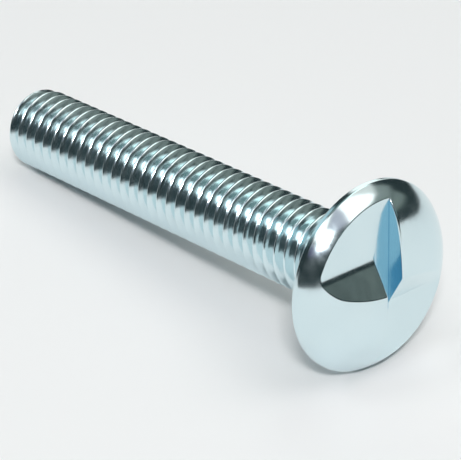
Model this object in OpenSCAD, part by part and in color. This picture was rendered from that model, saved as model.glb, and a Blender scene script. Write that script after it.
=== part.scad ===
/* [Shank] */
// Nominal thread diameter, which is also the diameter of the plain neck
thread_d = 6; // [4:0.5:8]
// Distance between neighbouring crests along the axis
thread_pitch = 1; // [0.8:0.05:1.25]
// Amount by which the crests stay below the nominal radius
crest_gap = 0.02; // [0.01:0.01:0.05]
// Angle about the axis at which the thread starts, in degrees
thread_turn = 288; // [0:1:350]
// Length from the bearing face under the head to the tip
shank_l = 35.5; // [20:0.5:45]
// Length of the plain neck between the head and the thread
neck_l = 2.4; // [2:0.1:4]
// Length over which the neck runs out into the thread
runout_l = 1.2; // [0.8:0.1:1.6]
// Radius of the fillet where the neck meets the head
neck_fillet_r = 0.25; // [0.1:0.05:0.4]
// Length of the chamfer that leads in at the tip
tip_chamfer_l = 0.75; // [0.4:0.05:1]

/* [Head] */
// Diameter of the head at its rim
head_d = 13.2; // [12.5:0.1:14.5]
// Height from the bearing face to the top of the dome
head_h = 2.8; // [2.6:0.1:3.4]
// Height of the straight edge round the rim
rim_h = 0.4; // [0.3:0.05:0.6]
// Radius that breaks the lower edge of the rim
rim_round_r = 0.12; // [0.05:0.01:0.2]
// Radius of the shallow sphere at the top of the dome
crown_r = 18; // [14:0.5:22]
// Diameter at which the crown turns down into the rounder shoulder
crown_d = 8; // [7:0.2:9]

/* [One-way recess] */
// Width of the slot between the two driving walls
slot_w = 1.3; // [0.9:0.1:1.7]
// Height of the recess floor above the bearing face
floor_h = 1.45; // [1.2:0.05:1.7]
// Distance from the axis at which the floor starts to rise
ramp_start = 1.8; // [1.4:0.1:2.2]
// Slope of the ramps that throw the driver out
ramp_angle = 31; // [26:1:36]
// Radius of the hollow where the floor turns up into a ramp
ramp_fillet_r = 1.5; // [1:0.1:2]

/* [Rest] */
// Angle by which the lying bolt is rolled about its axis, clockwise seen from its head
lie_turn = 3.5; // [-30:0.5:30]

/* [Hidden] */

$fn = 96;
crown_facets = 240;
shoulder_facets = 120;
small_facets = 32;
hollow_facets = 6;
// Turn of the revolved blank about its axis, which sets where its seam and the corners of its mesh lie
seam_turn = 27.5;
// Overlap of shapes that join, and how far a cutter reaches past what it cuts
eps = 0.01;
cut_past = 1;

head_r = head_d / 2;
neck_r = thread_d / 2;

// Metric thread form: a triangle of 60 degrees with an eighth of the pitch flat on
// the crest, and 17/24 of the sharp height deep
crest_flat = thread_pitch / 8;
thread_depth = 17 / 24 * thread_pitch * cos(30);
flank_l = thread_depth * tan(30);
root_flat = thread_pitch - crest_flat - 2 * flank_l;
crest_r = neck_r - crest_gap;
root_r = neck_r - thread_depth;
tip_r = crest_r - tip_chamfer_l;
runout_r = root_r - thread_depth / 6;

// Facets per turn, and the four corners of the form within one pitch
turn_facets = 28;
form_z = [0, root_flat, root_flat + flank_l, root_flat + flank_l + crest_flat];
form_r = [root_r, root_r, crest_r, crest_r];
corners = len(form_z);

// The threaded solid runs from the tip into the plain neck
thread_bottom = -shank_l;
thread_top = -neck_l + thread_pitch / 2;
// The form is counted from two pitches below the tip, so that every column starts inside it
thread_base = thread_bottom + thread_pitch * (thread_turn / 360 - 2);
pitch_count = ceil(shank_l / thread_pitch) + 3;
// No corner comes nearer to an end than this, so no facet is a sliver
end_gap = thread_pitch / 50;

// Shoulder arc, tangent to the crown sphere and ending at the rim
crown_edge_r = crown_d / 2;
crown_slope = asin(crown_edge_r / crown_r);
crown_edge_z = head_h - crown_r * (1 - cos(crown_slope));
shoulder_run = head_r - crown_edge_r;
shoulder_drop = rim_h - crown_edge_z;
shoulder_r = -(pow(shoulder_run, 2) + pow(shoulder_drop, 2))
    / (2 * (shoulder_run * sin(crown_slope) + shoulder_drop * cos(crown_slope)));
shoulder_x = crown_edge_r - shoulder_r * sin(crown_slope);
shoulder_z = crown_edge_z - shoulder_r * cos(crown_slope);

// Lying bolt: the rounded rim and the last full crest touch the surface
full_thread_l = shank_l - tip_chamfer_l;
rim_stand = head_r - rim_round_r - crest_r;
rim_run = full_thread_l + rim_round_r;
lie_tilt = atan(rim_stand / rim_run) + asin(rim_round_r / norm([rim_stand, rim_run]));
lie_height = crest_r * cos(lie_tilt) + full_thread_l * sin(lie_tilt);
lie_far_x = (head_h - crown_r) * cos(lie_tilt) + crown_r;
lie_near_x = -shank_l * cos(lie_tilt) - tip_r * sin(lie_tilt);

// Height of corner k of the thread form in column j
function corner_z(k, j) = thread_base + thread_pitch * (floor(k / corners) + j / turn_facets)
    + form_z[k % corners];

// Radius of corner k, cut down by the chamfer near the tip
function corner_r(k, j) = min(form_r[k % corners], tip_r + corner_z(k, j) - thread_bottom);

// First and last corner that a column holds between the two ends
corner_list = [for (k = [0 : corners * pitch_count]) k];
function held(j) = [for (k = corner_list)
    if (corner_z(k, j) > thread_bottom + end_gap && corner_z(k, j) < thread_top - end_gap) k];
held_corners = [for (j = [0 : turn_facets - 1]) held(j)];
first_corner = [for (h = held_corners) h[0]];
last_corner = [for (h = held_corners) h[len(h) - 1]];

// Point numbers: each column lists its lower end, its corners and its upper end
column_size = [for (h = held_corners) len(h) + 2];
function sum_before(list, n) = n == 0 ? 0 : list[n - 1] + sum_before(list, n - 1);
column_start = [for (j = [0 : turn_facets - 1]) sum_before(column_size, j)];
function wrap(j) = j % turn_facets;
function step_up(j) = j < turn_facets ? 0 : corners;
function low(j) = first_corner[wrap(j)] - step_up(j);
function high(j) = last_corner[wrap(j)] - step_up(j);
function point(k, j) = column_start[wrap(j)] + 1 + k - low(j);
function lower_end(j) = column_start[wrap(j)];
function upper_end(j) = column_start[wrap(j)] + column_size[wrap(j)] - 1;

// One point at radius r and height z in column j
function on_column(r, z, j) = [r * cos(360 * j / turn_facets), r * sin(360 * j / turn_facets), z];

// A right-hand helical thread as one closed solid
module helical_thread() {
    points = [for (j = [0 : turn_facets - 1]) each concat(
        [on_column(tip_r, thread_bottom, j)],
        [for (k = held_corners[j]) on_column(corner_r(k, j), corner_z(k, j), j)],
        [on_column(root_r, thread_top, j)])];
    lower_cap = [for (j = [0 : turn_facets - 1]) lower_end(j)];
    upper_cap = [for (j = [turn_facets - 1 : -1 : 0]) upper_end(j)];
    lower_fans = [for (j = [0 : turn_facets - 1]) each concat(
        [[lower_end(j), point(low(j + 1), j + 1), lower_end(j + 1)]],
        [for (k = [low(j + 1) : 1 : low(j) - 1]) [lower_end(j), point(k + 1, j + 1), point(k, j + 1)]],
        [[lower_end(j), point(low(j), j), point(low(j), j + 1)]])];
    walls = [for (j = [0 : turn_facets - 1]) for (k = [low(j) : high(j + 1) - 1]) each [
        [point(k, j), point(k + 1, j), point(k + 1, j + 1)],
        [point(k, j), point(k + 1, j + 1), point(k, j + 1)]]];
    upper_fans = [for (j = [0 : turn_facets - 1]) each concat(
        [[point(high(j + 1), j + 1), point(high(j + 1), j), upper_end(j + 1)]],
        [for (k = [high(j + 1) : 1 : high(j) - 1]) [point(k, j), point(k + 1, j), upper_end(j + 1)]],
        [[point(high(j), j), upper_end(j), upper_end(j + 1)]])];
    polyhedron(points, concat([lower_cap], lower_fans, walls, upper_fans, [upper_cap]));
}

// Half section of the neck, with the fillet under the head and the cone that runs out into the thread
module neck_section() {
    difference() {
        translate([0, -neck_l]) square([neck_r + neck_fillet_r, neck_l + rim_h / 2]);
        translate([neck_r + neck_fillet_r, -neck_fillet_r]) circle(neck_fillet_r, $fn = small_facets);
        translate([neck_r, -neck_l - eps]) square([2 * neck_fillet_r, neck_l - neck_fillet_r + eps]);
    }
    polygon([[0, -neck_l], [neck_r, -neck_l], [runout_r, -neck_l - runout_l], [0, -neck_l - runout_l]]);
}

// Half section of the domed head
module head_section() {
    intersection() {
        translate([0, head_h - crown_r]) circle(crown_r, $fn = crown_facets);
        square([crown_edge_r, head_h]);
    }
    difference() {
        intersection() {
            translate([shoulder_x, shoulder_z]) circle(shoulder_r, $fn = shoulder_facets);
            translate([crown_edge_r - eps, 0]) square([head_r - crown_edge_r + eps, head_h]);
        }
        rim_corner();
    }
}

// The sharp corner that is taken off the lower edge of the rim
module rim_corner() {
    difference() {
        translate([head_r - rim_round_r, -eps]) square([rim_round_r + eps, rim_round_r + eps]);
        translate([head_r - rim_round_r, rim_round_r]) circle(rim_round_r, $fn = small_facets);
    }
}

// Side view of the space over the floor and a ramp, with the hollow between them
module ramp_section(reach, rise) {
    hollow_start = ramp_start + ramp_fillet_r * tan(ramp_angle / 2);
    hollow = [for (i = [0 : hollow_facets]) let (a = ramp_angle * i / hollow_facets)
        [hollow_start - ramp_fillet_r * sin(a), ramp_fillet_r * (1 - cos(a))]];
    polygon(concat([[ramp_start - rise / tan(ramp_angle), rise], [reach, rise], [reach, 0]], hollow));
}

// Cuts one half of the recess: half the slot, and the floor with its ramp on the open side
module recess_half() {
    reach = head_r + cut_past;
    rise = head_h - floor_h + cut_past;
    translate([-slot_w / 2, -eps, floor_h]) cube([slot_w, reach, rise]);
    translate([-reach, 0, floor_h]) rotate([90, 0, 90]) linear_extrude(reach + slot_w / 2 - eps)
        ramp_section(reach, rise);
}

// The headed blank with its two-handed recess, standing on the bearing face
module headed_blank() {
    difference() {
        rotate([0, 0, seam_turn]) rotate_extrude() {
            neck_section();
            head_section();
        }
        for (turn = [0, 180]) rotate([0, 0, turn]) recess_half();
    }
}

module bolt() {
    color([0.69, 0.80, 0.84])
    translate([-(lie_far_x + lie_near_x) / 2, 0, lie_height])
    rotate([0, 90 - lie_tilt, 0]) rotate([0, 0, 90 - lie_turn]) {
        headed_blank();
        helical_thread();
    }
}

bolt();
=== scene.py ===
import math

import bpy
import numpy as np
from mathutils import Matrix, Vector
from mathutils.geometry import delaunay_2d_cdt


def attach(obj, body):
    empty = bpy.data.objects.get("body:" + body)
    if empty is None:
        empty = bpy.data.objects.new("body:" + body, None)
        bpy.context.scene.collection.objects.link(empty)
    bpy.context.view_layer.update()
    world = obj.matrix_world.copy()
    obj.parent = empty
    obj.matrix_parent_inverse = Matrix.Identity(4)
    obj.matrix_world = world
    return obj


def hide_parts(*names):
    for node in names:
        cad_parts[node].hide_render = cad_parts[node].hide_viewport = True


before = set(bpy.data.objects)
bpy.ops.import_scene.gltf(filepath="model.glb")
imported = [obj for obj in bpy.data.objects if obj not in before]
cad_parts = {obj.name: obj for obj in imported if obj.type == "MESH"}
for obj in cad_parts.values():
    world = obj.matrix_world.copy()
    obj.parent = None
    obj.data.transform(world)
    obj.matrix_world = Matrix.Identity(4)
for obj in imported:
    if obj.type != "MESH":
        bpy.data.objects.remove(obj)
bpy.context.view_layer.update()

# Driving sizes in millimetres, as in the CAD model
HEAD_R = 6.6
HEAD_H = 2.8
RIM_H = 0.4
RIM_ROUND_R = 0.12
CROWN_R = 18.0
CROWN_EDGE_R = 4.0
SLOT_HALF = 0.65
FLOOR_H = 1.45
RAMP_START = 1.8
RAMP_ANGLE = math.radians(31.0)
RAMP_FILLET_R = 1.5
NECK_R = 3.0
NECK_L = 2.4
RUNOUT_L = 1.2
NECK_FILLET_R = 0.25
SHANK_L = 35.5
PITCH = 1.0
CREST_GAP = 0.02
THREAD_TURN = math.radians(288.0)
TIP_CHAMFER_L = 0.75
LIE_TURN = math.radians(3.5)

# Metric thread form, 17/24 of the sharp height deep, with an eighth of the pitch flat on the crest
FLANK_ANGLE = math.radians(30.0)
THREAD_DEPTH = 17 / 24 * PITCH * math.cos(FLANK_ANGLE)
FLANK_L = THREAD_DEPTH * math.tan(FLANK_ANGLE)
CREST_FLAT = PITCH / 8
ROOT_FLAT = PITCH - CREST_FLAT - 2 * FLANK_L
CREST_R = NECK_R - CREST_GAP
ROOT_R = NECK_R - THREAD_DEPTH
TIP_R = CREST_R - TIP_CHAMFER_L
RUNOUT_R = ROOT_R - THREAD_DEPTH / 6
CREST_MIDDLE = ROOT_FLAT + FLANK_L + CREST_FLAT / 2
THREAD_BASE = -SHANK_L + PITCH * THREAD_TURN / (2 * math.pi)

# Lying attitude, as in the CAD model
FULL_THREAD_L = SHANK_L - TIP_CHAMFER_L
RIM_STAND = HEAD_R - RIM_ROUND_R - CREST_R
RIM_RUN = FULL_THREAD_L + RIM_ROUND_R
LIE_TILT = math.atan(RIM_STAND / RIM_RUN) + math.asin(RIM_ROUND_R / math.hypot(RIM_STAND, RIM_RUN))
LIE_HEIGHT = CREST_R * math.cos(LIE_TILT) + FULL_THREAD_L * math.sin(LIE_TILT)
LIE_FAR_X = (HEAD_H - CROWN_R) * math.cos(LIE_TILT) + CROWN_R
LIE_NEAR_X = -SHANK_L * math.cos(LIE_TILT) - TIP_R * math.sin(LIE_TILT)
LIE_ORIGIN = np.array([-(LIE_FAR_X + LIE_NEAR_X) / 2, 0.0, LIE_HEIGHT])

# Finish of the edges: the widths over which two surfaces blend, and two radii
CREST_BLEND = 0.10
ROOT_BLEND = 0.04
END_BLEND = 0.06
EDGE_BLEND = 0.04
WALL_EDGE_R = 0.14
RIM_EDGE_R = 0.09

# Columns round the thread and round the head, which has twice as many
THREAD_COLUMNS = 96
HEAD_COLUMNS = 2 * THREAD_COLUMNS

# Mesh rows of the thread, by their distance from the edges of its crest and its root
CREST_INSET = 0.005
CREST_OUTSET = 0.03
ROOT_OUTSET = 0.05
ROOT_NEAR = 0.01
ROOT_INSET = 0.03

# Place of the row on the flank, as a share of half a pitch, and pitches to spare at each end
FLANK_SHARE = 0.45
SPARE_PITCHES = 2

# Rings and rows of the tip, the neck, the bearing face, the rim and the shoulder
TIP_RING_SHARES = (1.0, 0.75, 0.5, 0.25)
NECK_ROW_SHARES = (1.0, 0.7, 0.4)
NECK_FILLET_ROWS = 9
SEAT_RING_R = 4.2
SEAT_MIDDLE_R = 5.4
RIM_ROUND_ROWS = 7
RIM_WALL_ROWS = 4
RIM_EDGE_ROWS = 9
SHOULDER_ROWS = 8

# Top of the head: the ring where it meets the shoulder, and the spacing of its points
TOP_RING_R = 6.2
TOP_GRID = 0.085
RING_CLEARANCE = 0.07
WALL_CLEARANCE = 0.04
CREASE_CLEARANCE = 0.045
DELAUNAY_EPSILON = 1e-6

# Mesh lines along the driving walls
WALL_ROWS = 110
WALL_OVERRUN = 0.02
WALL_EDGE_TURNS = (0.0, 0.42, 0.84, 1.22, math.pi / 2)
WALL_LEVEL_SHARES = (0.0, 0.33, 0.67, 1.0)

# Search for the radius at which the floor leaves the dome, and how far the walls go past it
RUNOUT_TRIES = 2000
RUNOUT_SPARE = 0.01

# Mesh lines where the dome meets the recess, as shares of the blend there
CREASE_LEVELS = (-1.0, -0.4, 0.0, 0.4, 1.0)
CREASE_START_R = 0.3
CREASE_END_R = TOP_RING_R - 0.03
CREASE_HALVINGS = 40
CREASE_WALL_GAP = 0.02
CREASE_SLOT_GAP = 0.03
CREASE_WALL_END = -RAMP_START - 1.0
SIDE_DIRECTIONS = np.radians(np.linspace(-89.9, 89.9, 500))
SLOT_DIRECTIONS = np.radians(np.linspace(-98, -82, 50))

# Step for slopes, the least square under a root, and the grid on which points are joined
SLOPE_STEP = 1e-4
LEAST_SQUARE = 1e-8
JOINS_PER_MM = 2000.0
MM_PER_M = 1000

# Shoulder arc, tangent to the crown and ending at the rim
crown_slope = math.asin(CROWN_EDGE_R / CROWN_R)
crown_edge_z = HEAD_H - CROWN_R * (1 - math.cos(crown_slope))
shoulder_run = HEAD_R - CROWN_EDGE_R
shoulder_drop = RIM_H - crown_edge_z
shoulder_r = -(shoulder_run ** 2 + shoulder_drop ** 2) / (
    2 * (shoulder_run * math.sin(crown_slope) + shoulder_drop * math.cos(crown_slope)))
shoulder_x = CROWN_EDGE_R - shoulder_r * math.sin(crown_slope)
shoulder_z = crown_edge_z - shoulder_r * math.cos(crown_slope)


def soft_min(a, b, width):
    """The lower of two heights, rounded where they meet."""
    near = np.maximum(width - np.abs(a - b), 0.0)
    return np.minimum(a, b) - near * near / (4 * width)


def soft_max(a, b, width):
    """The higher of two heights, hollowed where they meet."""
    return -soft_min(-a, -b, width)


def dome(x, y):
    """Height of the dome over a point of its plan."""
    r = np.hypot(x, y)
    crown = HEAD_H - CROWN_R + np.sqrt(np.maximum(CROWN_R ** 2 - r * r, 0.0))
    shoulder = shoulder_z + np.sqrt(np.maximum(shoulder_r ** 2 - (r - shoulder_x) ** 2, 0.0))
    return np.where(r < CROWN_EDGE_R, crown, shoulder)


def ramp(y):
    """Height of the floor and the ramp that rises from it towards +y."""
    hollow = RAMP_FILLET_R * math.tan(RAMP_ANGLE / 2)
    t = y + RAMP_START
    into_hollow = np.clip(t + hollow, 0.0, RAMP_FILLET_R)
    arc = RAMP_FILLET_R - np.sqrt(np.maximum(RAMP_FILLET_R ** 2 - into_hollow ** 2, 0.0))
    slope = t * math.tan(RAMP_ANGLE)
    return FLOOR_H + np.where(t < -hollow, 0.0, np.where(t < hollow * math.cos(RAMP_ANGLE), arc, slope))


def slot_floor(x, y):
    """Height of the slot's floor, which runs out through the dome at both ends."""
    return soft_min(dome(x, y), np.full_like(x, FLOOR_H), EDGE_BLEND)


def side_plain(x, y):
    """Height beside the slot on the +x side, before its edge is rounded."""
    return soft_min(dome(x, y), ramp(y), EDGE_BLEND)


def edge_drop(x):
    """How far the rounded edge of the driving wall lies below the plain surface."""
    d = np.clip(x - SLOT_HALF, 0.0, WALL_EDGE_R)
    return WALL_EDGE_R - np.sqrt(np.maximum(WALL_EDGE_R ** 2 - (WALL_EDGE_R - d) ** 2, 0.0))


def side(x, y):
    """Height beside the slot on the +x side."""
    return np.maximum(side_plain(x, y) - edge_drop(x), slot_floor(x, y))


def gradient(height, x, y):
    """Slopes of a height function."""
    gx = (height(x + SLOPE_STEP, y) - height(x - SLOPE_STEP, y)) / (2 * SLOPE_STEP)
    gy = (height(x, y + SLOPE_STEP) - height(x, y - SLOPE_STEP)) / (2 * SLOPE_STEP)
    return gx, gy


def field_normals(gx, gy):
    """Normals of a height field with these slopes."""
    n = np.stack([-gx, -gy, np.ones_like(gx)], 1)
    return n / np.linalg.norm(n, axis=1)[:, None]


def side_normals(x, y):
    """Normals beside the slot, level with the wall at its rounded edge."""
    gx, gy = gradient(side_plain, x, y)
    left = WALL_EDGE_R - np.clip(x - SLOT_HALF, 0.0, WALL_EDGE_R)
    steep = left / np.sqrt(np.maximum(WALL_EDGE_R ** 2 - left ** 2, LEAST_SQUARE))
    fx, fy = gradient(slot_floor, x, y)
    on_floor = side_plain(x, y) - edge_drop(x) <= slot_floor(x, y)
    return field_normals(np.where(on_floor, fx, gx + steep), np.where(on_floor, fy, gy))


# Each part of the surface is a tuple of points, normals and faces, in the bolt's own frame
parts = []


def add_part(points, normals, faces):
    """Keeps one part of the surface."""
    parts.append((np.asarray(points, float), np.asarray(normals, float), faces))


def add_turned(r, z, nr, nz, columns):
    """A surface of revolution through the profile points r, z, listed with the outside on the right."""
    angle = 2 * np.pi * np.arange(columns) / columns
    cos = np.cos(angle)
    sin = np.sin(angle)
    across = np.ones(columns)
    points = np.stack([np.outer(r, cos), np.outer(r, sin), np.outer(z, across)], 2)
    normals = np.stack([np.outer(nr, cos), np.outer(nr, sin), np.outer(nz, across)], 2)
    faces = []
    for i in range(len(r) - 1):
        low = i * columns
        high = low + columns
        for j in range(columns):
            k = (j + 1) % columns
            faces.append((low + j, low + k, high + k, high + j))
    add_part(points.reshape(-1, 3), normals.reshape(-1, 3), faces)


def ring_points(radius, columns):
    """Points in plan, evenly round a circle."""
    angles = [2 * math.pi * j / columns for j in range(columns)]
    return [(radius * math.cos(a), radius * math.sin(a)) for a in angles]


def thread_form(z, angle):
    """Radius of the bare thread at a height and an angle about the axis."""
    s = (z - THREAD_BASE - PITCH * angle / (2 * np.pi) - CREST_MIDDLE) / PITCH
    away = np.abs(s - np.round(s)) * PITCH
    flank = CREST_R - (away - CREST_FLAT / 2) / math.tan(FLANK_ANGLE)
    crest = soft_min(flank, np.full_like(flank, CREST_R), CREST_BLEND)
    return soft_max(crest, np.full_like(flank, ROOT_R), ROOT_BLEND)


def shank_radius(z, angle):
    """Radius of the shank with its tip chamfer and the neck's cone."""
    r = soft_min(thread_form(z, angle), TIP_R + z + SHANK_L, END_BLEND)
    rise = np.clip((z + NECK_L + RUNOUT_L) / RUNOUT_L, -1.0, 1.0)
    cone = RUNOUT_R + (NECK_R - RUNOUT_R) * rise
    return soft_max(r, cone, END_BLEND)


def thread_rows():
    """Heights of the mesh rows in column 0, where a crest lies at every pitch."""
    half = PITCH / 2
    crest_edge = CREST_FLAT / 2
    root_edge = crest_edge + FLANK_L
    one_side = [
        crest_edge - CREST_INSET,
        crest_edge + CREST_OUTSET,
        half * FLANK_SHARE,
        root_edge - ROOT_OUTSET,
        root_edge - ROOT_NEAR,
        root_edge + ROOT_INSET,
    ]
    steps = np.array([-half] + [-d for d in reversed(one_side)] + [0.0] + one_side)
    pitches = int(SHANK_L / PITCH) + 2 * SPARE_PITCHES
    first_crest = THREAD_BASE + CREST_MIDDLE
    crests = [first_crest + PITCH * (n - SPARE_PITCHES) for n in range(pitches)]
    return np.concatenate([crest + steps for crest in crests]), len(steps)


def add_shank():
    """The threaded shank, whose mesh rows climb with the thread."""
    rows, rows_per_pitch = thread_rows()
    turn = 2 * np.pi * np.arange(THREAD_COLUMNS) / THREAD_COLUMNS
    z = rows[:, None] + PITCH * turn[None, :] / (2 * np.pi)
    z = np.clip(z, -SHANK_L, -NECK_L)
    angle = np.broadcast_to(turn[None, :], z.shape)
    r = shank_radius(z, angle)
    # The uppermost ring is the neck's own, so that the two join without a gap
    r[z >= -NECK_L] = NECK_R
    h = SLOPE_STEP
    dz = (shank_radius(z + h, angle) - shank_radius(z - h, angle)) / (2 * h)
    da = (shank_radius(z, angle + h) - shank_radius(z, angle - h)) / (2 * h)
    cos = np.cos(angle)
    sin = np.sin(angle)
    points = np.stack([r * cos, r * sin, z], 2)
    normals = np.stack([cos + da / r * sin, sin - da / r * cos, -dz], 2)
    normals /= np.linalg.norm(normals, axis=2)[:, :, None]
    faces = []
    for i in range(len(rows) - 1):
        for j in range(THREAD_COLUMNS):
            k = (j + 1) % THREAD_COLUMNS
            # The last column meets the first one a pitch further on
            climb = rows_per_pitch if k == 0 else 0
            if i + 1 + climb < len(rows):
                a = i * THREAD_COLUMNS + j
                b = (i + climb) * THREAD_COLUMNS + k
                faces.append((a, b, b + THREAD_COLUMNS, a + THREAD_COLUMNS))
    add_part(points.reshape(-1, 3), normals.reshape(-1, 3), faces)


def add_tip_face():
    """The flat end of the tip, in rings round its middle point."""
    n = THREAD_COLUMNS
    points = [(0.0, 0.0, -SHANK_L)]
    for share in TIP_RING_SHARES:
        points += [(x, y, -SHANK_L) for x, y in ring_points(TIP_R * share, n)]
    last = 1 + (len(TIP_RING_SHARES) - 1) * n
    faces = []
    for j in range(n):
        k = (j + 1) % n
        for outer in range(1, last, n):
            inner = outer + n
            faces.append((outer + k, outer + j, inner + j, inner + k))
        faces.append((last + k, last + j, 0))
    add_part(points, [(0.0, 0.0, -1.0)] * len(points), faces)


def add_neck():
    """The plain neck and the fillet under the head."""
    t = np.linspace(0, np.pi / 2, NECK_FILLET_ROWS)
    plain = np.ones(len(NECK_ROW_SHARES))
    r = np.concatenate([NECK_R * plain, NECK_R + NECK_FILLET_R * (1 - np.cos(t))])
    z = np.concatenate([-NECK_L * np.array(NECK_ROW_SHARES), -NECK_FILLET_R * (1 - np.sin(t))])
    nr = np.concatenate([plain, np.cos(t)])
    nz = np.concatenate([0 * plain, -np.sin(t)])
    add_turned(r, z, nr, nz, THREAD_COLUMNS)


def add_seat():
    """The inner ring of the bearing face, where the columns double."""
    inner = ring_points(NECK_R + NECK_FILLET_R, THREAD_COLUMNS)
    outer = ring_points(SEAT_RING_R, HEAD_COLUMNS)
    points = [(x, y, 0.0) for x, y in inner + outer]
    faces = []
    for j in range(THREAD_COLUMNS):
        k = (j + 1) % THREAD_COLUMNS
        a = THREAD_COLUMNS + 2 * j
        b = a + 1
        c = THREAD_COLUMNS + 2 * k
        faces += [(j, b, a), (j, k, b), (k, c, b)]
    add_part(points, [(0.0, 0.0, -1.0)] * len(points), faces)


def add_rim():
    """The outer ring of the bearing face, its rounded lower edge and the rim's straight wall."""
    t = np.linspace(0, np.pi / 2, RIM_ROUND_ROWS)
    up = np.linspace(0, 1, RIM_WALL_ROWS)[1:]
    wall_h = RIM_H - RIM_EDGE_R - RIM_ROUND_R
    round_r = HEAD_R - RIM_ROUND_R + RIM_ROUND_R * np.sin(t)
    r = np.concatenate([[SEAT_RING_R, SEAT_MIDDLE_R], round_r, HEAD_R + 0 * up])
    z = np.concatenate([[0.0, 0.0], RIM_ROUND_R * (1 - np.cos(t)), RIM_ROUND_R + wall_h * up])
    nr = np.concatenate([[0.0, 0.0], np.sin(t), 1 + 0 * up])
    nz = np.concatenate([[-1.0, -1.0], -np.cos(t), 0 * up])
    add_turned(r, z, nr, nz, HEAD_COLUMNS)


def add_shoulder():
    """The rim's softened upper edge and the shoulder, as far as the top's ring."""
    top_z = dome(np.array([TOP_RING_R]), np.array([0.0]))[0]
    rim_angle = math.atan2(RIM_H - shoulder_z, HEAD_R - shoulder_x)
    top_angle = math.atan2(top_z - shoulder_z, TOP_RING_R - shoulder_x)
    a = np.linspace(rim_angle + RIM_EDGE_R / shoulder_r, top_angle, SHOULDER_ROWS)
    arc_r = shoulder_x + shoulder_r * np.cos(a)
    arc_z = shoulder_z + shoulder_r * np.sin(a)
    # A quadratic curve from the rim's wall to the foot of the arc
    in_r = arc_r[0] - HEAD_R
    up_z = arc_z[0] - RIM_H
    t = np.linspace(0, 1, RIM_EDGE_ROWS)
    edge_r = HEAD_R + t ** 2 * in_r
    edge_z = RIM_H - (1 - t) ** 2 * RIM_EDGE_R + t ** 2 * up_z
    slope_r = 2 * t * in_r
    slope_z = 2 * (1 - t) * RIM_EDGE_R + 2 * t * up_z
    length = np.hypot(slope_r, slope_z)
    add_turned(edge_r, edge_z, slope_z / length, -slope_r / length, HEAD_COLUMNS)
    add_turned(arc_r, arc_z, np.cos(a), np.sin(a), HEAD_COLUMNS)


# A driving wall runs from behind the foot of the other ramp to where the floor leaves the dome
wall_start = RAMP_START + RAMP_FILLET_R * math.tan(RAMP_ANGLE / 2) + WALL_OVERRUN
radii = np.linspace(CROWN_EDGE_R, TOP_RING_R, RUNOUT_TRIES)
runout_r = radii[np.argmax(dome(radii, 0 * radii) < FLOOR_H - EDGE_BLEND)] + RUNOUT_SPARE
wall_end = math.sqrt(runout_r ** 2 - SLOT_HALF ** 2)
wall_y = np.linspace(-wall_start, wall_end, WALL_ROWS)


def crease_point(a, level, in_slot):
    """The furthest point in a direction where the dome still stands this far over the recess."""
    near = CREASE_START_R
    far = CREASE_END_R
    for _ in range(CREASE_HALVINGS):
        r = (near + far) / 2
        x = np.array(r * math.cos(a))
        y = np.array(r * math.sin(a))
        under = FLOOR_H if in_slot else float(ramp(y))
        if float(dome(x, y)) - under > level:
            near = r
        else:
            far = r
    return near * math.cos(a), near * math.sin(a)


def crease_lines(level):
    """Lines in plan along which the dome stands this far over the recess."""
    side_line = []
    for a in SIDE_DIRECTIONS:
        x, y = crease_point(a, level, False)
        edge = WALL_EDGE_R if y > CREASE_WALL_END else 0.0
        if x > SLOT_HALF + edge + CREASE_WALL_GAP:
            side_line.append((x, y))
    slot_line = []
    for a in SLOT_DIRECTIONS:
        x, y = crease_point(a, level, True)
        if abs(x) < SLOT_HALF - CREASE_SLOT_GAP:
            slot_line.append((x, y))
    lines = []
    for line in (side_line, slot_line):
        lines += [line, [(-x, -y) for x, y in line]]
    return lines


def near_wall(x, y):
    """Whether a point of the plan is among the mesh lines of a driving wall."""
    turn = 1 if x > 0 else -1
    gap = abs(x) - SLOT_HALF
    across = -WALL_CLEARANCE < gap < WALL_EDGE_R + WALL_CLEARANCE
    return across and -wall_start - WALL_CLEARANCE < turn * y < wall_end + WALL_CLEARANCE


def top_plan():
    """Points of the top in plan, and the edges that its triangles keep."""
    plan = ring_points(TOP_RING_R, HEAD_COLUMNS)
    edges = [(j, (j + 1) % HEAD_COLUMNS) for j in range(HEAD_COLUMNS)]

    def add_line(line):
        """Keeps a line's points, and the edges between them."""
        start = len(plan)
        plan.extend(line)
        edges.extend((start + i, start + i + 1) for i in range(len(line) - 1))

    for turn in (1, -1):
        for t in WALL_EDGE_TURNS:
            x = SLOT_HALF + WALL_EDGE_R * (1 - math.cos(t))
            add_line([(turn * x, turn * y) for y in wall_y])
    crease = []
    for level in CREASE_LEVELS:
        for line in crease_lines(level * EDGE_BLEND):
            add_line(line)
            crease += line
    crease = np.array(crease)
    ticks = np.arange(-TOP_RING_R, TOP_RING_R, TOP_GRID)
    for row, y in enumerate(ticks):
        for x in ticks + (TOP_GRID / 2 if row % 2 else 0.0):
            if math.hypot(x, y) > TOP_RING_R - RING_CLEARANCE or near_wall(x, y):
                continue
            if np.min(np.hypot(crease[:, 0] - x, crease[:, 1] - y)) > CREASE_CLEARANCE:
                plan.append((x, y))
    return plan, edges


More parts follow.
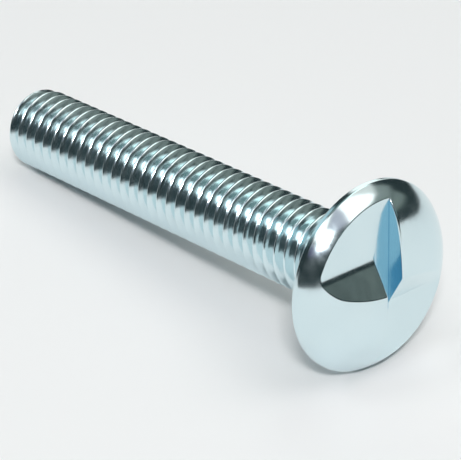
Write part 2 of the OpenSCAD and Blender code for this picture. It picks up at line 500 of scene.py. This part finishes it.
def add_top():
    """The dome's top with both halves of the recess and the slot's floor, triangulated in plan."""
    plan, edges = top_plan()
    found = delaunay_2d_cdt([Vector(p) for p in plan], edges, [], 0, DELAUNAY_EPSILON)
    p = np.array([(v.x, v.y) for v in found[0]])
    tri = np.array([tuple(f) for f in found[2]])
    ab = p[tri[:, 1]] - p[tri[:, 0]]
    ac = p[tri[:, 2]] - p[tri[:, 0]]
    area = ab[:, 0] * ac[:, 1] - ab[:, 1] * ac[:, 0]
    tri[area < 0] = tri[area < 0][:, ::-1]
    middle_x = p[tri].mean(1)[:, 0]
    right = middle_x > SLOT_HALF
    left = middle_x < -SLOT_HALF
    x = p[:, 0]
    y = p[:, 1]
    half_turn = np.array([-1.0, -1.0, 1.0])
    floor_normals = field_normals(*gradient(slot_floor, x, y))
    for z, normals, chosen in (
            (side(x, y), side_normals(x, y), right),
            (side(-x, -y), side_normals(-x, -y) * half_turn, left),
            (slot_floor(x, y), floor_normals, ~right & ~left)):
        add_part(np.stack([x, y, z], 1), normals, [tuple(f) for f in tri[chosen]])


def add_driving_walls():
    """The two walls of the slot, from its floor up to their rounded edges."""
    x = np.full_like(wall_y, SLOT_HALF)
    low = slot_floor(x, wall_y)
    high = side(x, wall_y)
    rows = [low + (high - low) * share for share in WALL_LEVEL_SHARES]
    faces = []
    for i in range(len(rows) - 1):
        for j in range(WALL_ROWS - 1):
            a = i * WALL_ROWS + j
            b = a + WALL_ROWS
            faces.append((a, b, b + 1, a + 1))
    for turn in (1, -1):
        points = np.concatenate([np.stack([turn * x, turn * wall_y, row], 1) for row in rows])
        add_part(points, [(-turn, 0.0, 0.0)] * len(points), faces)


add_shank()
add_tip_face()
add_neck()
add_seat()
add_rim()
add_shoulder()
add_top()
add_driving_walls()


def join_parts():
    """One closed mesh in millimetres, with the parts' normals on its corners."""
    points = np.concatenate([p for p, _, _ in parts])
    normals = np.concatenate([n for _, n, _ in parts])
    starts = np.cumsum([0] + [len(p) for p, _, _ in parts[:-1]])
    keys = np.round(points * JOINS_PER_MM).astype(np.int64)
    _, first, index = np.unique(keys, axis=0, return_index=True, return_inverse=True)
    index = index.reshape(-1)
    faces = []
    corner_normals = []
    for (_, _, part_faces), start in zip(parts, starts):
        for face in part_faces:
            joined = []
            corners = []
            for corner in face:
                vertex = int(index[start + corner])
                if vertex not in joined:
                    joined.append(vertex)
                    corners.append(start + corner)
            if len(joined) > 2:
                faces.append(joined)
                corner_normals += corners
    used = np.unique(np.concatenate([np.array(f) for f in faces]))
    renumber = np.full(len(first), -1)
    renumber[used] = np.arange(len(used))
    faces = [[int(renumber[i]) for i in f] for f in faces]
    return points[first[used]], faces, normals[corner_normals]


# The bolt laid down in the frame, in metres
local_points, bolt_faces, local_normals = join_parts()
axis = np.array([math.cos(LIE_TILT), 0.0, math.sin(LIE_TILT)])
plan_up = np.array([-math.sin(LIE_TILT), 0.0, math.cos(LIE_TILT)])
plan_right = np.array([0.0, 1.0, 0.0])
slot_up = plan_up * math.cos(LIE_TURN) + plan_right * math.sin(LIE_TURN)
slot_right = plan_right * math.cos(LIE_TURN) - plan_up * math.sin(LIE_TURN)
to_frame = np.stack([slot_right, slot_up, axis])
frame_points = (LIE_ORIGIN + local_points @ to_frame) / MM_PER_M
frame_normals = local_normals @ to_frame

mesh = bpy.data.meshes.new("truss_head_bolt")
mesh.from_pydata(frame_points.tolist(), [], bolt_faces)
mesh.shade_smooth()
mesh.normals_split_custom_set(frame_normals.tolist())
bolt = bpy.data.objects.new("truss_head_bolt", mesh)
bpy.context.scene.collection.objects.link(bolt)

# Marks the driving walls, where the blue of the plating gathers
WALL_REACH = RAMP_START + 0.4
WALL_TOLERANCE = 0.0001
FLOOR_TOLERANCE = 0.001
lx = local_points[:, 0]
ly = local_points[:, 1]
lz = local_points[:, 2]
on_wall = np.abs(np.abs(lx) - SLOT_HALF) < WALL_TOLERANCE
on_wall &= np.sign(lx) * ly > -WALL_REACH
on_wall &= lz > FLOOR_H - FLOOR_TOLERANCE
on_wall &= np.hypot(lx, ly) < TOP_RING_R
layer = mesh.attributes.new("driving_wall", "FLOAT", "POINT")
layer.data.foreach_set("value", on_wall.astype(np.float32))

# Colours of the zinc between its duller and its paler places, of the driving walls and of the floor
ZINC_DULL = (0.68, 0.82, 0.86, 1.0)
ZINC_PALE = (0.74, 0.87, 0.90, 1.0)
WALL_BLUE = (0.27, 0.53, 0.69, 1.0)
FLOOR_COLOUR = (0.87, 0.867, 0.872, 1.0)

# Noise of the grain that is spread over this range of roughness
GRAIN_RANGE = (0.3, 0.7)
ROUGHNESS_RANGE = (0.13, 0.2)

# Heights of the waves and of the grain in metres, and how strongly the grain shows
WAVE_HEIGHT = 0.000012
GRAIN_HEIGHT = 0.00005
GRAIN_STRENGTH = 0.05

# Sockets of a Mix node for colours
MIX_SHARE = 0
MIX_FIRST = 6
MIX_SECOND = 7
MIX_RESULT = 2


def new_material(name):
    """A material with nodes, its tree and its shader."""
    material = bpy.data.materials.new(name)
    material.use_nodes = True
    return material, material.node_tree, material.node_tree.nodes["Principled BSDF"]


zinc, tree, shader = new_material("bright_zinc")
nodes = tree.nodes
links = tree.links
coords = nodes.new("ShaderNodeTexCoord")


def add_noise(scale, detail):
    """Noise in the bolt's own space."""
    node = nodes.new("ShaderNodeTexNoise")
    node.inputs["Scale"].default_value = scale
    node.inputs["Detail"].default_value = detail
    links.new(coords.outputs["Object"], node.inputs["Vector"])
    return node.outputs["Fac"]


# Cloudy tone, waves a millimetre or two long, and a fine grain
tone = add_noise(350.0, 3.0)
waves = add_noise(650.0, 1.0)
grain = add_noise(1800.0, 4.0)

shader.inputs["Metallic"].default_value = 1.0
colour = nodes.new("ShaderNodeMix")
colour.data_type = "RGBA"
colour.inputs[MIX_FIRST].default_value = ZINC_DULL
colour.inputs[MIX_SECOND].default_value = ZINC_PALE
links.new(tone, colour.inputs[MIX_SHARE])
wall = nodes.new("ShaderNodeAttribute")
wall.attribute_name = "driving_wall"
tint = nodes.new("ShaderNodeMix")
tint.data_type = "RGBA"
tint.inputs[MIX_SECOND].default_value = WALL_BLUE
links.new(wall.outputs["Fac"], tint.inputs[MIX_SHARE])
links.new(colour.outputs[MIX_RESULT], tint.inputs[MIX_FIRST])
links.new(tint.outputs[MIX_RESULT], shader.inputs["Base Color"])

gloss = nodes.new("ShaderNodeMapRange")
gloss.inputs["From Min"].default_value = GRAIN_RANGE[0]
gloss.inputs["From Max"].default_value = GRAIN_RANGE[1]
gloss.inputs["To Min"].default_value = ROUGHNESS_RANGE[0]
gloss.inputs["To Max"].default_value = ROUGHNESS_RANGE[1]
links.new(grain, gloss.inputs["Value"])
links.new(gloss.outputs["Result"], shader.inputs["Roughness"])

swell = nodes.new("ShaderNodeBump")
swell.inputs["Distance"].default_value = WAVE_HEIGHT
links.new(waves, swell.inputs["Height"])
bump = nodes.new("ShaderNodeBump")
bump.inputs["Strength"].default_value = GRAIN_STRENGTH
bump.inputs["Distance"].default_value = GRAIN_HEIGHT
links.new(grain, bump.inputs["Height"])
links.new(swell.outputs["Normal"], bump.inputs["Normal"])
links.new(bump.outputs["Normal"], shader.inputs["Normal"])
mesh.materials.append(zinc)

# Floor
FLOOR_HALF = 1.5
paper, _, shader = new_material("pale_floor")
shader.inputs["Base Color"].default_value = FLOOR_COLOUR
shader.inputs["Roughness"].default_value = 0.9
shader.inputs["Specular IOR Level"].default_value = 0.1
corners = [(FLOOR_HALF * x, FLOOR_HALF * y, 0.0) for x, y in ((-1, -1), (1, -1), (1, 1), (-1, 1))]
floor_mesh = bpy.data.meshes.new("floor")
floor_mesh.from_pydata(corners, [], [(0, 1, 2, 3)])
floor_mesh.materials.append(paper)
floor = bpy.data.objects.new("floor", floor_mesh)
bpy.context.scene.collection.objects.link(floor)

# Key lamp, whose azimuth runs from +y towards +x, as all azimuths here do
KEY_AZIMUTH = math.radians(132.0)
KEY_HEIGHT = math.radians(45.5)
KEY_DISTANCE = 0.9
KEY_WIDTH = 0.17
KEY_THICKNESS = 0.11
KEY_RADIANCE = 77.0
key_light = bpy.data.lights.new("key_lamp", "AREA")
key_light.shape = "RECTANGLE"
key_light.size = KEY_WIDTH
key_light.size_y = KEY_THICKNESS
key_light.energy = KEY_RADIANCE * math.pi * KEY_WIDTH * KEY_THICKNESS
key_lamp = bpy.data.objects.new("key_lamp", key_light)
key_lamp.location = KEY_DISTANCE * Vector((
    math.cos(KEY_HEIGHT) * math.sin(KEY_AZIMUTH),
    math.cos(KEY_HEIGHT) * math.cos(KEY_AZIMUTH),
    math.sin(KEY_HEIGHT),
))
key_lamp.rotation_euler = (-key_lamp.location).to_track_quat("-Z", "Y").to_euler()
bpy.context.scene.collection.objects.link(key_lamp)

# Dim room around the table, with windows and paler walls
ROOM_DARK = (0.022, 0.034, 0.036, 1.0)
WINDOW_EDGE = math.radians(3.0)
world = bpy.data.worlds.new("studio")
bpy.context.scene.world = world
world.use_nodes = True
room_tree = world.node_tree
direction = room_tree.nodes.new("ShaderNodeTexCoord")
split = room_tree.nodes.new("ShaderNodeSeparateXYZ")
room_tree.links.new(direction.outputs["Generated"], split.inputs["Vector"])


def add_math(operation, *values):
    """A Math node, of which each input is a number or another node's output."""
    node = room_tree.nodes.new("ShaderNodeMath")
    node.operation = operation
    for socket, value in zip(node.inputs, values):
        if isinstance(value, float):
            socket.default_value = value
        else:
            room_tree.links.new(value, socket)
    return node.outputs["Value"]


def add_share(value, low, high):
    """Runs from 0 to 1 as a value goes from low to high."""
    node = room_tree.nodes.new("ShaderNodeMapRange")
    node.interpolation_type = "SMOOTHSTEP"
    node.inputs["From Min"].default_value = low
    node.inputs["From Max"].default_value = high
    room_tree.links.new(value, node.inputs["Value"])
    return node.outputs["Result"]


azimuth = add_math("ARCTAN2", split.outputs["X"], split.outputs["Y"])
height = add_math("ARCSINE", split.outputs["Z"])


def add_window(below, azimuths, heights, radiance):
    """Adds a soft-edged patch of light between two azimuths and two heights, in degrees."""
    first, last = (math.radians(a) for a in azimuths)
    low, high = (math.radians(h) for h in heights)
    half = (last - first) / 2
    from_middle = add_math("SUBTRACT", azimuth, (first + last) / 2)
    away = add_math("ABSOLUTE", add_math("WRAP", from_middle, math.pi, -math.pi))
    within = add_share(away, half + WINDOW_EDGE, half - WINDOW_EDGE)
    over = add_share(height, low - WINDOW_EDGE, low + WINDOW_EDGE)
    under = add_share(height, high + WINDOW_EDGE, high - WINDOW_EDGE)
    node = room_tree.nodes.new("ShaderNodeMix")
    node.data_type = "RGBA"
    node.blend_type = "ADD"
    share = add_math("MULTIPLY", add_math("MULTIPLY", within, over), under)
    room_tree.links.new(share, node.inputs[MIX_SHARE])
    room_tree.links.new(below, node.inputs[MIX_FIRST])
    node.inputs[MIX_SECOND].default_value = (*radiance, 1.0)
    return node.outputs[MIX_RESULT]


dark = room_tree.nodes.new("ShaderNodeRGB")
dark.outputs["Color"].default_value = ROOM_DARK
room = dark.outputs["Color"]

# High window beyond the head, and its dimmer end, in the shoulder's upper highlight
room = add_window(room, (22.0, 86.0), (46.0, 95.0), (1.75, 1.68, 1.63))
room = add_window(room, (-12.0, 22.0), (46.0, 95.0), (0.8, 0.78, 0.74))
# Dim stretch between the two highlights of the shoulder
room = add_window(room, (86.0, 132.0), (50.0, 95.0), (0.4, 0.38, 0.45))
# High window on the camera's side, in the lower highlight, which runs over the rim
room = add_window(room, (136.0, 188.0), (48.0, 80.0), (1.6, 1.55, 1.5))
# Bright window on the camera's side of the tip, mirrored twice in the thread's grooves
room = add_window(room, (209.0, 237.0), (43.0, 66.0), (3.0, 3.0, 3.0))
# Low window behind the bolt, on the thread's upper edge and on top of the rim
room = add_window(room, (300.0, 330.0), (6.0, 44.0), (1.25, 1.25, 1.2))
# High window behind the bolt, in the thread's grooves
room = add_window(room, (318.0, 350.0), (46.0, 76.0), (1.6, 1.8, 1.7))
# Pale wall at the tip's end, in the grooves next to the head, and the ceiling over it
room = add_window(room, (238.0, 275.0), (12.0, 45.0), (0.55, 0.75, 0.8))
room = add_window(room, (238.0, 318.0), (60.0, 95.0), (0.17, 0.25, 0.24))
# Dim walls beyond the head, in the thread, on the dome's upper right and in the dark ramp
room = add_window(room, (2.0, 62.0), (29.0, 46.0), (0.22, 0.24, 0.22))
room = add_window(room, (10.0, 46.0), (15.0, 27.0), (0.18, 0.2, 0.18))
room = add_window(room, (64.0, 97.0), (20.0, 34.0), (0.28, 0.36, 0.35))
# Faint walls on the camera's side, in the thread and at the shoulder's lower left
room = add_window(room, (160.0, 185.0), (38.0, 45.0), (0.2, 0.2, 0.27))
room = add_window(room, (120.0, 160.0), (32.0, 42.0), (0.05, 0.035, 0.12))
room_tree.links.new(room, room_tree.nodes["Background"].inputs["Color"])

# Camera, in metres, with its sensor and lens in millimetres
CAMERA_PLACE = Vector((0.101210, -0.087764, 0.086385))
CAMERA_TARGET = Vector((0.002330, 0.000784, 0.003067))
CAMERA_SENSOR = 36.0
CAMERA_LENS = 175.27
camera_data = bpy.data.cameras.new("camera")
camera_data.sensor_width = CAMERA_SENSOR
camera_data.lens = CAMERA_LENS
camera = bpy.data.objects.new("camera", camera_data)
camera.location = CAMERA_PLACE
camera.rotation_euler = (CAMERA_TARGET - CAMERA_PLACE).to_track_quat("-Z", "Y").to_euler()
bpy.context.scene.collection.objects.link(camera)
bpy.context.scene.camera = camera
bpy.context.scene.view_settings.view_transform = "Standard"

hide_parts("bolt")
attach(bolt, "root")
